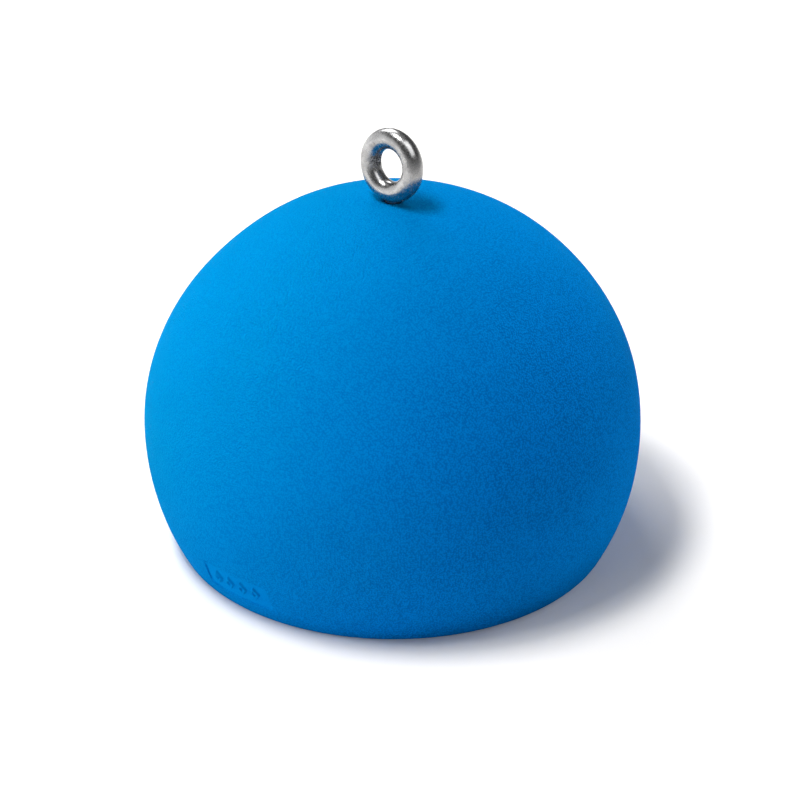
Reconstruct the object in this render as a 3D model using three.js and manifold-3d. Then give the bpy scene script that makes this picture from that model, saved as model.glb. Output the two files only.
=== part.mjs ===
// Hanging training ball: a moulded, flat-based ball of tough foam with a steel eye in its crown.
// Millimetres, +Z up. The origin is the centre of the flat base, where the ball stands.
// The badge is on the -Y side, and the hole of the eye runs along Y.

import * as THREE from 'three';
import { mergeVertices } from 'three/addons/utils/BufferGeometryUtils.js';
import Module from 'manifold-3d';

const wasm = await Module();
wasm.setup();

// Outer shape: a ball cut off flat below its widest level, and slightly flattened on top.
const BALL_RADIUS = 150;
const WIDEST_Z = 70;
const CROWN_RISE = 146;
const CROWN_Z = WIDEST_Z + CROWN_RISE;
const BASE_EDGE_ROUND = 1.5;
const SKIN_THICKNESS = 7;
const CROWN_BORE_RADIUS = 5.5;
const CROWN_BORE_ROUND = 0.6;

// Eye bolt: a ring of round bar on a straight shank that runs down to the base.
// The ring leans back a little, and stands slightly forward of the shank.
const EYE_BAR_RADIUS = 6.05;
const EYE_BAR_CENTRE_RADIUS = 15.65;
const EYE_CENTRE_Y = -1.3;
const EYE_CENTRE_Z = CROWN_Z + 22.3;
const EYE_LEAN = 0.1;
const SHANK_RADIUS = 5;
const SHANK_END_Z = 8;
const SHANK_TOP_Z = CROWN_Z + 2;

// Base: a plywood board held by the skin's turned-in rim, and a screwed cover.
const RIM_OPENING_RADIUS = 122;
const RIM_THICKNESS = 3.7;
const BOARD_BOTTOM_Z = 4;
const BOARD_THICKNESS = 15;
const BOARD_TOP_Z = BOARD_BOTTOM_Z + BOARD_THICKNESS;
const BOARD_RADIUS = 126.3;
const COVER_BOTTOM_Z = 0.8;
const COVER_THICKNESS = 2.9;
const COVER_SCREW_COUNT = 6;
const COVER_SCREW_CIRCLE = 106;
const INSERT_RADIUS = 3.2;
const INSERT_LENGTH = 9;

// Spine: the parts that carry the pull of the eye down to the board.
const CUP_RADIUS = 21;
const CUP_FLANGE_RADIUS = 44;
const CUP_SHEET = 3;
const CUP_TOP_Z = 31;
const CUP_SCREW_COUNT = 4;
const CUP_SCREW_CIRCLE = 33;
const TUBE_RADIUS = 10;
const TUBE_BORE_RADIUS = 7;
const TOP_PLATE_RADIUS = 28;
const TOP_PLATE_THICKNESS = 3;
const TOP_PLATE_Z = 198;
const BUSH_SLEEVE_RADIUS = 6.7;
const BUSH_FLANGE_RADIUS = 11;
const BUSH_FLANGE_THICKNESS = 2;
const BUSH_SLEEVE_LENGTH = 16;

// Lock nut, M10, with its nylon ring at the lower end.
const NUT_ACROSS_FLATS = 17;
const NUT_HEX_HEIGHT = 7.2;
const NUT_HEIGHT = 10;
const NUT_COLLAR_RADIUS = 7.6;
const NUT_RING_RADIUS = 6.5;
const NUT_LIP_RADIUS = 5.9;
const THRUST_WASHER_THICKNESS = 1.5;
const NUT_WASHER_THICKNESS = 2;
const NUT_WASHER_RADIUS = 11;

// Clearances.
const GAP = 0.3;
const FOAM_GAP = 0.6;
const RUNNING_RADIUS = SHANK_RADIUS + GAP;

// Badge: a shallow panel pressed into the skin, with a row of raised lozenges.
const BADGE_WIDTH = 49;
const BADGE_BOTTOM_Z = 11;
const BADGE_TOP_Z = 29;
const BADGE_DEPTH = 0.7;
const LOZENGE_COUNT = 4;
const LOZENGE_PITCH = 9.6;
const LOZENGE_HALF_WIDTH = 3.4;
const LOZENGE_HALF_HEIGHT = 4.8;
const LOZENGE_CENTRE_Z = 21.2;

// Smoothness of round pieces.
const ROUND = { large: 48, medium: 32, small: 24, screw: 12 };

const MATERIALS = {
  skin: { color: 0x0080d8, roughness: 0.62, metalness: 0 },
  foam: { color: 0xd8d2bd, roughness: 0.95, metalness: 0 },
  plywood: { color: 0xc09a66, roughness: 0.8, metalness: 0 },
  blackRubber: { color: 0x1d1f22, roughness: 0.85, metalness: 0 },
  nylon: { color: 0xe9e6da, roughness: 0.5, metalness: 0 },
  polishedSteel: { color: 0xb9bcc0, roughness: 0.25, metalness: 1 },
  zincSteel: { color: 0xa3a6a8, roughness: 0.42, metalness: 1 },
  bronze: { color: 0xa8793f, roughness: 0.4, metalness: 1 },
  brass: { color: 0xc2a052, roughness: 0.35, metalness: 1 },
};

const ball = new THREE.Group();

// Geometry helpers

// Points of an elliptical arc in the (radius, height) plane, angles in radians.
function arc(centreR, centreZ, radiusR, radiusZ, from, to, steps) {
  return Array.from({ length: steps + 1 }, (_, i) => {
    const angle = from + ((to - from) * i) / steps;
    return new THREE.Vector2(
      centreR + radiusR * Math.cos(angle),
      centreZ + radiusZ * Math.sin(angle),
    );
  });
}

function point(radius, z) {
  return new THREE.Vector2(radius, z);
}

// Revolves an anticlockwise outline of (radius, height) points about Z.
// A ring's outline is closed on itself; a solid's starts and ends on the axis.
function revolve(outline, segments) {
  const onAxis = outline[0].x === 0;
  const points = onAxis ? outline : [...outline, outline[0]];
  return new THREE.LatheGeometry(points, segments).rotateX(Math.PI / 2);
}

function ringPlate(innerRadius, outerRadius, bottomZ, topZ, segments) {
  return revolve([
    point(innerRadius, bottomZ),
    point(outerRadius, bottomZ),
    point(outerRadius, topZ),
    point(innerRadius, topZ),
  ], segments);
}

// A closed three.js geometry as a solid that can be cut and joined.
function toSolid(geometry) {
  const bare = geometry.clone();
  bare.deleteAttribute('normal');
  bare.deleteAttribute('uv');
  const merged = mergeVertices(bare, 1e-4);
  const corners = merged.index.array;
  const triangles = [];
  for (let i = 0; i < corners.length; i += 3) {
    const [a, b, c] = corners.slice(i, i + 3);
    if (a !== b && b !== c && c !== a) triangles.push(a, b, c);
  }
  return new wasm.Manifold(new wasm.Mesh({
    numProp: 3,
    vertProperties: new Float32Array(merged.attributes.position.array),
    triVerts: new Uint32Array(triangles),
  }));
}

function fromSolid(solid) {
  const mesh = solid.getMesh();
  const geometry = new THREE.BufferGeometry();
  geometry.setAttribute('position', new THREE.BufferAttribute(mesh.vertProperties, 3));
  geometry.setIndex(new THREE.BufferAttribute(mesh.triVerts, 1));
  geometry.computeVertexNormals();
  return geometry;
}

function cut(geometry, tools) {
  const result = tools.reduce((solid, tool) => solid.subtract(toSolid(tool)), toSolid(geometry));
  return fromSolid(result);
}

function place(name, geometry, material) {
  const mesh = new THREE.Mesh(geometry, new THREE.MeshStandardMaterial(material));
  mesh.name = name;
  ball.add(mesh);
  return mesh;
}

// Equally spaced angles round a circle, the first half a pitch away from +X.
function boltAngles(count) {
  return Array.from({ length: count }, (_, i) => ((i + 0.5) * 2 * Math.PI) / count);
}

function onCircle(geometry, circleRadius, angle) {
  const x = circleRadius * Math.cos(angle);
  const y = circleRadius * Math.sin(angle);
  return geometry.translate(x, y, 0);
}

// Outer shape

// The ball's outline, set in by a depth, from a starting angle to a finishing radius.
function domeOutline(depth, fromAngle, toRadius, lowerSteps, upperSteps) {
  const radius = BALL_RADIUS - depth;
  const rise = CROWN_RISE - depth;
  const lower = arc(0, WIDEST_Z, radius, radius, fromAngle, 0, lowerSteps);
  const upper = arc(0, WIDEST_Z, radius, rise, 0, Math.acos(toRadius / radius), upperSteps);
  return [...lower, ...upper.slice(1)];
}

function skinOutline() {
  const toRound = BALL_RADIUS - BASE_EDGE_ROUND;
  const roundDrop = WIDEST_Z - BASE_EDGE_ROUND;
  const roundRadius = Math.sqrt(toRound ** 2 - roundDrop ** 2);
  const tangentAngle = -Math.asin(roundDrop / toRound);
  const round = arc(roundRadius, BASE_EDGE_ROUND, BASE_EDGE_ROUND, BASE_EDGE_ROUND,
    -Math.PI / 2, tangentAngle, 3);
  const lipRadius = CROWN_BORE_RADIUS + CROWN_BORE_ROUND;
  const outside = domeOutline(0, tangentAngle, lipRadius, 4, 13);
  const lipZ = outside.at(-1).y - CROWN_BORE_ROUND;
  const lip = arc(lipRadius, lipZ, CROWN_BORE_ROUND, CROWN_BORE_ROUND, Math.PI / 2, Math.PI, 3);
  const insideRadius = BALL_RADIUS - SKIN_THICKNESS;
  const insideFrom = -Math.asin((WIDEST_Z - RIM_THICKNESS) / insideRadius);
  const inside = domeOutline(SKIN_THICKNESS, insideFrom, CROWN_BORE_RADIUS, 4, 14).reverse();
  return [
    point(RIM_OPENING_RADIUS, 0),
    ...round,
    ...outside.slice(1),
    ...lip.slice(1),
    ...inside,
    point(RIM_OPENING_RADIUS, RIM_THICKNESS),
  ];
}

// The badge's panel follows the curve of the skin, so its cutter is a slice of a thin revolved band.
function badgeCutter() {
  const angleAt = (z, radius) => Math.asin((z - WIDEST_Z) / radius);
  const floorRadius = BALL_RADIUS - BADGE_DEPTH;
  const outerRadius = BALL_RADIUS + 3;
  const floor = arc(0, WIDEST_Z, floorRadius, floorRadius,
    angleAt(BADGE_TOP_Z, floorRadius), angleAt(BADGE_BOTTOM_Z, floorRadius), 2);
  const outer = arc(0, WIDEST_Z, outerRadius, outerRadius,
    angleAt(BADGE_BOTTOM_Z, outerRadius), angleAt(BADGE_TOP_Z, outerRadius), 2);
  const band = toSolid(revolve([...floor, ...outer], ROUND.large));
  const slice = new THREE.BoxGeometry(BADGE_WIDTH, BALL_RADIUS, BALL_RADIUS);
  slice.translate(0, -BALL_RADIUS, 0);
  const panel = band.intersect(toSolid(slice));
  return lozenges().reduce((solid, lozenge) => solid.subtract(toSolid(lozenge)), panel);
}

// Four-sided bars that stand through the panel along Y.
function lozenges() {
  const middle = (LOZENGE_COUNT - 1) / 2;
  return Array.from({ length: LOZENGE_COUNT }, (_, i) => {
    const bar = new THREE.CylinderGeometry(1, 1, BALL_RADIUS, 4);
    bar.scale(LOZENGE_HALF_WIDTH, 1, LOZENGE_HALF_HEIGHT);
    return bar.translate((i - middle) * LOZENGE_PITCH, -BALL_RADIUS, LOZENGE_CENTRE_Z);
  });
}

function addSkin() {
  const plain = toSolid(revolve(skinOutline(), ROUND.large));
  place('moulded_skin', fromSolid(plain.subtract(badgeCutter())), MATERIALS.skin);
}

function addFoamCore() {
  const depth = SKIN_THICKNESS + FOAM_GAP;
  const radius = BALL_RADIUS - depth;
  const bottomZ = BOARD_TOP_Z + GAP;
  const fromAngle = Math.asin((bottomZ - WIDEST_Z) / radius);
  const headRadius = BUSH_FLANGE_RADIUS + GAP;
  const outline = [
    point(CUP_RADIUS + GAP, bottomZ),
    ...domeOutline(depth, fromAngle, headRadius, 3, 12),
    point(headRadius, TOP_PLATE_Z + TOP_PLATE_THICKNESS + GAP),
    point(TOP_PLATE_RADIUS + GAP, TOP_PLATE_Z + TOP_PLATE_THICKNESS + GAP),
    point(TOP_PLATE_RADIUS + GAP, TOP_PLATE_Z - GAP),
    point(TUBE_RADIUS + GAP, TOP_PLATE_Z - GAP),
    point(TUBE_RADIUS + GAP, CUP_TOP_Z + GAP),
    point(CUP_RADIUS + GAP, CUP_TOP_Z + GAP),
  ];
  place('foam_core', revolve(outline, ROUND.large), MATERIALS.foam);
}

// Crown

// A ring of round bar whose hole runs along Y, welded on the rounded top of the shank.
function addEyeBolt() {
  const ring = new THREE.TorusGeometry(EYE_BAR_CENTRE_RADIUS, EYE_BAR_RADIUS, 16, 40);
  ring.rotateX(Math.PI / 2 - EYE_LEAN);
  ring.translate(0, EYE_CENTRE_Y, EYE_CENTRE_Z);
  const chamfer = 1.5;
  const shank = revolve([
    point(0, SHANK_END_Z),
    point(SHANK_RADIUS - chamfer, SHANK_END_Z),
    point(SHANK_RADIUS, SHANK_END_Z + chamfer),
    ...arc(0, SHANK_TOP_Z, SHANK_RADIUS, SHANK_RADIUS, 0, Math.PI / 2, 4).slice(0, -1),
    point(0, SHANK_TOP_Z + SHANK_RADIUS),
  ], ROUND.small);
  const bolt = toSolid(ring).add(toSolid(shank));
  place('eye_bolt', fromSolid(bolt), MATERIALS.polishedSteel);
}

// A rubber ring under the skin, which keeps water out of the spine.
function addCrownSeal() {
  const bottomZ = TOP_PLATE_Z + TOP_PLATE_THICKNESS + BUSH_FLANGE_THICKNESS + 2 * GAP;
  const topZ = CROWN_Z - SKIN_THICKNESS - 1.2;
  const seal = ringPlate(RUNNING_RADIUS, BUSH_FLANGE_RADIUS, bottomZ, topZ, ROUND.small);
  place('crown_seal', seal, MATERIALS.blackRubber);
}

// Spine

function addSpineTube() {
  const tube = ringPlate(TUBE_BORE_RADIUS, TUBE_RADIUS, CUP_TOP_Z + GAP, TOP_PLATE_Z - GAP,
    ROUND.small);
  place('spine_tube', tube, MATERIALS.zincSteel);
}

function addTopPlate() {
  const plate = ringPlate(TUBE_BORE_RADIUS, TOP_PLATE_RADIUS, TOP_PLATE_Z,
    TOP_PLATE_Z + TOP_PLATE_THICKNESS, ROUND.medium);
  place('top_plate', plate, MATERIALS.zincSteel);
}

// Nylon sleeves with a flange, which guide the shank at both ends of the tube.
function addBushes() {
  const flange = BUSH_FLANGE_THICKNESS;
  const topSeatZ = TOP_PLATE_Z + TOP_PLATE_THICKNESS + GAP;
  const top = revolve([
    point(RUNNING_RADIUS, topSeatZ - BUSH_SLEEVE_LENGTH),
    point(BUSH_SLEEVE_RADIUS, topSeatZ - BUSH_SLEEVE_LENGTH),
    point(BUSH_SLEEVE_RADIUS, topSeatZ),
    point(BUSH_FLANGE_RADIUS, topSeatZ),
    point(BUSH_FLANGE_RADIUS, topSeatZ + flange),
    point(RUNNING_RADIUS, topSeatZ + flange),
  ], ROUND.small);
  place('top_bush', top, MATERIALS.nylon);

  const bottomSeatZ = CUP_TOP_Z - CUP_SHEET - GAP;
  const bottom = revolve([
    point(RUNNING_RADIUS, bottomSeatZ - flange),
    point(BUSH_FLANGE_RADIUS, bottomSeatZ - flange),
    point(BUSH_FLANGE_RADIUS, bottomSeatZ),
    point(BUSH_SLEEVE_RADIUS, bottomSeatZ),
    point(BUSH_SLEEVE_RADIUS, bottomSeatZ + BUSH_SLEEVE_LENGTH),
    point(RUNNING_RADIUS, bottomSeatZ + BUSH_SLEEVE_LENGTH),
  ], ROUND.small);
  place('bottom_bush', bottom, MATERIALS.nylon);
  return bottomSeatZ - flange;
}

// The stack that holds the bolt's lower end, from the bush's flange down.
function addNutStack(seatZ) {
  const thrustTopZ = seatZ - GAP;
  const thrustBottomZ = thrustTopZ - THRUST_WASHER_THICKNESS;
  place('thrust_washer', ringPlate(RUNNING_RADIUS, BUSH_FLANGE_RADIUS, thrustBottomZ, thrustTopZ,
    ROUND.small), MATERIALS.bronze);

  const washerTopZ = thrustBottomZ - GAP;
  const washerBottomZ = washerTopZ - NUT_WASHER_THICKNESS;
  place('nut_washer', ringPlate(RUNNING_RADIUS, NUT_WASHER_RADIUS, washerBottomZ, washerTopZ,
    ROUND.small), MATERIALS.zincSteel);

  addLockNut(washerBottomZ - GAP);
}

// A hexagon with a round collar below it, which holds a nylon ring in a groove.
function addLockNut(topZ) {
  const hexZ = topZ - NUT_HEX_HEIGHT;
  const bottomZ = topZ - NUT_HEIGHT;
  const lipZ = bottomZ + 0.6;
  const ringTopZ = bottomZ + 2.7;
  const corner = NUT_ACROSS_FLATS / Math.sqrt(3);
  const hex = new THREE.CylinderGeometry(corner, corner, NUT_HEX_HEIGHT, 6);
  hex.rotateX(Math.PI / 2).translate(0, 0, (topZ + hexZ) / 2);
  const collar = revolve([
    point(0, bottomZ),
    point(NUT_COLLAR_RADIUS, bottomZ),
    point(NUT_COLLAR_RADIUS, hexZ + 1),
    point(0, hexZ + 1),
  ], ROUND.small);
  const bore = revolve([
    point(0, bottomZ - 1),
    point(NUT_LIP_RADIUS, bottomZ - 1),
    point(NUT_LIP_RADIUS, lipZ),
    point(NUT_RING_RADIUS + GAP, lipZ),
    point(NUT_RING_RADIUS + GAP, ringTopZ + GAP),
    point(RUNNING_RADIUS, ringTopZ + GAP),
    point(RUNNING_RADIUS, topZ + 1),
    point(0, topZ + 1),
  ], ROUND.small);
  const nut = toSolid(hex).add(toSolid(collar)).subtract(toSolid(bore));
  place('lock_nut', fromSolid(nut), MATERIALS.zincSteel);
  place('nyloc_ring', ringPlate(RUNNING_RADIUS, NUT_RING_RADIUS, lipZ + GAP, ringTopZ,
    ROUND.small), MATERIALS.nylon);
}

// Base

// Countersunk screw with its head down: outline grown by a clearance when it cuts its own hole.
function screwGeometry(headZ, headRadius, bodyRadius, length, clearance) {
  const head = headRadius + clearance;
  const body = bodyRadius + clearance;
  const coneTopZ = headZ + (headRadius - bodyRadius) + 0.4;
  return revolve([
    point(0, headZ - (clearance > 0 ? 1 : 0)),
    point(head, headZ - (clearance > 0 ? 1 : 0)),
    point(head, headZ + 0.4),
    point(body, coneTopZ),
    point(body, headZ + length + clearance),
    point(0, headZ + length + clearance),
  ], ROUND.screw);
}

function hexSocket(headZ, acrossFlats, depth) {
  const radius = acrossFlats / Math.sqrt(3);
  const socket = new THREE.CylinderGeometry(radius, radius, 2 * depth, 6);
  return socket.rotateX(Math.PI / 2).translate(0, 0, headZ);
}

const COVER_SCREW = { headZ: COVER_BOTTOM_Z, headRadius: 4, bodyRadius: 1.7, length: 10.5 };
const CUP_SCREW = { headZ: BOARD_BOTTOM_Z, headRadius: 4.2, bodyRadius: 2, length: 12.5 };

function screw(spec, clearance) {
  return screwGeometry(spec.headZ, spec.headRadius, spec.bodyRadius, spec.length, clearance);
}

function addScrews(prefix, spec, count, circleRadius) {
  boltAngles(count).forEach((angle, i) => {
    const body = cut(screw(spec, 0), [hexSocket(spec.headZ, 2.5, 1.5)]);
    place(`${prefix}_${i + 1}`, onCircle(body, circleRadius, angle), MATERIALS.zincSteel);
  });
}

function screwCutters(spec, count, circleRadius) {
  return boltAngles(count).map((angle) => onCircle(screw(spec, GAP), circleRadius, angle));
}

// A pressed steel cup: its flange bears up on the board, and its top carries the nut stack.
function addLoadCup() {
  const inner = CUP_RADIUS - CUP_SHEET;
  const flangeTopZ = BOARD_BOTTOM_Z + CUP_SHEET;
  const bend = 4;
  const outline = [
    point(inner, BOARD_BOTTOM_Z),
    point(CUP_FLANGE_RADIUS, BOARD_BOTTOM_Z),
    point(CUP_FLANGE_RADIUS, flangeTopZ),
    point(CUP_RADIUS, flangeTopZ),
    ...arc(CUP_RADIUS - bend, CUP_TOP_Z - bend, bend, bend, 0, Math.PI / 2, 3),
    point(TUBE_BORE_RADIUS, CUP_TOP_Z),
    point(TUBE_BORE_RADIUS, CUP_TOP_Z - CUP_SHEET),
    point(inner, CUP_TOP_Z - CUP_SHEET),
  ];
  const tools = screwCutters(CUP_SCREW, CUP_SCREW_COUNT, CUP_SCREW_CIRCLE);
  place('load_cup', cut(revolve(outline, ROUND.medium), tools), MATERIALS.zincSteel);
}

function addBaseBoard() {
  const recessZ = BOARD_BOTTOM_Z + CUP_SHEET + GAP;
  const outline = [
    point(CUP_FLANGE_RADIUS + GAP, BOARD_BOTTOM_Z),
    point(BOARD_RADIUS, BOARD_BOTTOM_Z),
    point(BOARD_RADIUS, BOARD_TOP_Z),
    point(CUP_RADIUS + GAP, BOARD_TOP_Z),
    point(CUP_RADIUS + GAP, recessZ),
    point(CUP_FLANGE_RADIUS + GAP, recessZ),
  ];
  const insertHoles = boltAngles(COVER_SCREW_COUNT).map((angle) => onCircle(revolve([
    point(0, BOARD_BOTTOM_Z - 1),
    point(INSERT_RADIUS + GAP, BOARD_BOTTOM_Z - 1),
    point(INSERT_RADIUS + GAP, BOARD_BOTTOM_Z + INSERT_LENGTH + 2 * GAP),
    point(0, BOARD_BOTTOM_Z + INSERT_LENGTH + 2 * GAP),
  ], ROUND.screw), COVER_SCREW_CIRCLE, angle));
  const tools = [...screwCutters(CUP_SCREW, CUP_SCREW_COUNT, CUP_SCREW_CIRCLE), ...insertHoles];
  place('base_board', cut(revolve(outline, ROUND.large), tools), MATERIALS.plywood);
}

function addBaseCover() {
  const topZ = COVER_BOTTOM_Z + COVER_THICKNESS;
  const chamfer = 0.8;
  const radius = RIM_OPENING_RADIUS - GAP;
  const outline = [
    point(0, COVER_BOTTOM_Z),
    point(radius - chamfer, COVER_BOTTOM_Z),
    point(radius, COVER_BOTTOM_Z + chamfer),
    point(radius, topZ),
    point(0, topZ),
  ];
  const tools = screwCutters(COVER_SCREW, COVER_SCREW_COUNT, COVER_SCREW_CIRCLE);
  place('base_cover', cut(revolve(outline, ROUND.large), tools), MATERIALS.blackRubber);
}

// Threaded inserts that the cover's screws go into.
function addCoverInserts() {
  boltAngles(COVER_SCREW_COUNT).forEach((angle, i) => {
    const insert = ringPlate(COVER_SCREW.bodyRadius + GAP, INSERT_RADIUS, BOARD_BOTTOM_Z + GAP,
      BOARD_BOTTOM_Z + GAP + INSERT_LENGTH, ROUND.screw);
    place(`cover_insert_${i + 1}`, onCircle(insert, COVER_SCREW_CIRCLE, angle), MATERIALS.brass);
  });
}

addSkin();
addCrownSeal();
addFoamCore();
addEyeBolt();
addTopPlate();
addSpineTube();
const bushSeatZ = addBushes();
addNutStack(bushSeatZ);
addLoadCup();
addScrews('cup_screw', CUP_SCREW, CUP_SCREW_COUNT, CUP_SCREW_CIRCLE);
addBaseBoard();
addCoverInserts();
addBaseCover();
addScrews('cover_screw', COVER_SCREW, COVER_SCREW_COUNT, COVER_SCREW_CIRCLE);

export default ball;
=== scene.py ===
import math

import bmesh
import bpy
import numpy as np
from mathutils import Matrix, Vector


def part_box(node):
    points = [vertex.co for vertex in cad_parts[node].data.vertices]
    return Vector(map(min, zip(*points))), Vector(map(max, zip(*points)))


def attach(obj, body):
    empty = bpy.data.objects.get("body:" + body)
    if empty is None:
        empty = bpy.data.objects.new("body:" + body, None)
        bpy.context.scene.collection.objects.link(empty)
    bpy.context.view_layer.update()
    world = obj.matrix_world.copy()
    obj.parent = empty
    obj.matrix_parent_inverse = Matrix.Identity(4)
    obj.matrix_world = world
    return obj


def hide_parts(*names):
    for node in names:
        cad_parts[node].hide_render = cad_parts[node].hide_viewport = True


# A hanging training ball: a flat-based blue ball with a steel ring eye in its crown.
# Metres, +Z up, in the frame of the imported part. The badge is on the -Y side.

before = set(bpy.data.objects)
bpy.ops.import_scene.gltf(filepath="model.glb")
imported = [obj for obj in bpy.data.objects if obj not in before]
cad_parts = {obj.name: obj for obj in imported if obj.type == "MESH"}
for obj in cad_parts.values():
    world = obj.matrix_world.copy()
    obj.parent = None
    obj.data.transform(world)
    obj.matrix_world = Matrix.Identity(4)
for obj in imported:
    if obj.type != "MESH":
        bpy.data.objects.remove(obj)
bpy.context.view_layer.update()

MM = 0.001

# Driving dimensions, read from the frame where a box gives them

skin_low, skin_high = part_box("moulded_skin")
BALL_RADIUS = (skin_high.x - skin_low.x) / 2
WIDEST_Z = max(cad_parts["moulded_skin"].data.vertices, key=lambda v: v.co.xy.length).co.z
CROWN_Z = 0.216
CROWN_RISE = CROWN_Z - WIDEST_Z
SKIN_THICKNESS = 7 * MM
BASE_EDGE_ROUND = 1.5 * MM
CROWN_BORE_RADIUS = 5.5 * MM
CROWN_BORE_ROUND = 0.6 * MM
RIM_OPENING_RADIUS = 122 * MM
RIM_THICKNESS = 3.7 * MM
RIM_ROUND = 0.6 * MM
FOAM_GAP = 0.6 * MM
CUP_HOLLOW_RADIUS = 21.3 * MM
PLY_THICKNESS = 1.5 * MM

# Eye bolt: a ring that leans back a little, on an M10 shank
eye_low, eye_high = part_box("eye_bolt")
EYE_RADIUS = (eye_high.x - eye_low.x) / 2
EYE_BAR_RADIUS = 6.05 * MM
EYE_CENTRE = Vector((0, -1.3 * MM, CROWN_Z + 22.3 * MM))
EYE_LEAN = 0.1
PITTED_PATCH = Vector((-9.8 * MM, -1 * MM, 0.5 * MM))
SHANK_RADIUS = 5 * MM
THREAD_LENGTH = 32 * MM
THREAD_PITCH = 1.5 * MM
GAP = 0.3 * MM

# Screws with their heads down
COVER_SCREW_COUNT = 6
COVER_SCREW_BODY = 1.7 * MM
CUP_SCREW_COUNT = 4
CUP_SCREW_BODY = 2 * MM
SCREW_HEAD_EDGE = 0.4 * MM
SOCKET_ACROSS_FLATS = 2.5 * MM
SOCKET_DEPTH = 1.5 * MM

# Ring grooves in the underside of the base cover
GROOVE_RADII = np.arange(16, 98, 9) * MM
GROOVE_HALF_WIDTH = 1.6 * MM
GROOVE_FLOOR_HALF_WIDTH = 1 * MM
GROOVE_DEPTH = 0.6 * MM

# Badge: a panel pressed into the skin, with a row of raised lozenges
BADGE_HALF_WIDTH = 24.5 * MM
BADGE_BOTTOM_Z = 11 * MM
BADGE_TOP_Z = 29 * MM
BADGE_CORNER = 5.5 * MM
BADGE_DEPTH = 0.8 * MM
BADGE_SLOPE = 0.9 * MM
BADGE_ANGLE = -math.pi / 2
LOZENGE_COUNT = 4
LOZENGE_PITCH = 9.6 * MM
LOZENGE_HALF_WIDTH = 3.4 * MM
LOZENGE_HALF_HEIGHT = 5 * MM
LOZENGE_RISE = 1.2 * MM
RIDGE_HEIGHT = 1.3 * MM
RIDGE_WIDTH = 1.6 * MM
RIDGE_SLOPE = 0.45 * MM
DIMPLE_ACROSS = -25.2 * MM
DIMPLE_RISE = 8.6 * MM
DIMPLE_RADIUS = 0.8 * MM
DIMPLE_DEPTH = 0.6 * MM

# Long waves in the moulding
WAVE_COUNT = 9
WAVE_HEIGHT = 0.08 * MM
SHORTEST_WAVE = 95 * MM
WAVE_STEP = 13 * MM

# Where the moulding is a little full (+) or flat (-): azimuth, elevation and reach in degrees,
# seen from the widest level, and height
FULL_AND_FLAT = [
    (192, 40, 16, -1.1 * MM),
    (38, -4, 18, -0.8 * MM),
    (80, 49, 20, 0.45 * MM),
    (216, 7, 14, 0.5 * MM),
]

# Sizes of the skin's facets, over the whole ball and where the badge is
FACET = 2.4 * MM
FACET_ANGLE = math.radians(1.25)
BADGE_FACET = 0.36 * MM
BADGE_FACET_ANGLE = math.radians(0.145)

# The side of the skin towards the key light, which is painted a greener blue as lit skin looks:
# painted light
LIT_SIDE = (-0.61, -0.52, 0.6)

# Mesh tools


def even_angles(count):
    return np.arange(count) * 2 * math.pi / count


def hexagon(angles):
    """Distance from the centre to a hexagon's edge, for flats at distance 1, at each angle."""
    return 1 / np.cos((angles + math.pi / 6) % (math.pi / 3) - math.pi / 6)


def rings_to_points(rings, angles):
    """Points of rings (radius, height), each number or array over the angles, as rows."""
    rows = []
    for radius, z in rings:
        x = radius * np.cos(angles)
        y = radius * np.sin(angles)
        rows.append(np.stack([x, y, np.broadcast_to(z, x.shape)], -1))
    return np.array(rows)


def grid_mesh(name, rows, closed_section):
    """A mesh from rows of points that each close round. A closed section joins the last row to
    the first; otherwise the first and last rows are capped."""
    count, across = rows.shape[:2]
    points = rows.reshape(-1, 3)
    index = np.arange(count * across).reshape(count, across)
    below = index if closed_section else index[:-1]
    above = np.roll(index, -1, 0) if closed_section else index[1:]
    quads = np.stack(
        [below, np.roll(below, -1, 1), np.roll(above, -1, 1), above], -1
    ).reshape(-1, 4)
    faces = quads.tolist()
    if not closed_section:
        faces.append(index[0][::-1].tolist())
        faces.append(index[-1].tolist())
    mesh = bpy.data.meshes.new(name)
    mesh.from_pydata(points.tolist(), [], faces)
    work = bmesh.new()
    work.from_mesh(mesh)
    bmesh.ops.recalc_face_normals(work, faces=work.faces)
    work.to_mesh(mesh)
    work.free()
    return mesh


def soften(outline, radius, steps=3, closed=True):
    """Rounds the corners of an outline of (radius, height) points, with a short straight
    lead on both sides of each round, so that flat faces shade flat."""
    nearly_straight = math.radians(84)
    share_of_edge = 0.42
    straight_share = 0.15
    made = []
    count = len(outline)
    for i, corner in enumerate(outline):
        if not closed and i in (0, count - 1):
            made.append(tuple(corner))
            continue
        here = np.array(corner, float)
        before = np.array(outline[i - 1], float) - here
        after = np.array(outline[(i + 1) % count], float) - here
        reach = min(np.linalg.norm(before), np.linalg.norm(after))
        before /= np.linalg.norm(before)
        after /= np.linalg.norm(after)
        half = math.acos(float(np.clip(before @ after, -1, 1))) / 2
        if half > nearly_straight:
            made.append(tuple(corner))
            continue
        lead = min(radius / math.tan(half), share_of_edge * reach)
        size = lead * math.tan(half)
        middle = (before + after) / np.linalg.norm(before + after)
        centre = here + middle * size / math.sin(half)
        first = here + before * lead
        last = here + after * lead
        made.append(tuple(first + before * straight_share * lead))
        for k in range(steps + 1):
            mixed = first * (1 - k / steps) + last * (k / steps) - centre
            made.append(tuple(centre + mixed / np.linalg.norm(mixed) * size))
        made.append(tuple(last + after * straight_share * lead))
    return made


def arc(centre_r, centre_z, radius_r, radius_z, start, end, steps):
    """Points (radius, height) along an ellipse, from one angle to another."""
    return [
        (centre_r + radius_r * math.cos(a), centre_z + radius_z * math.sin(a))
        for a in np.linspace(start, end, steps + 1)
    ]


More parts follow.
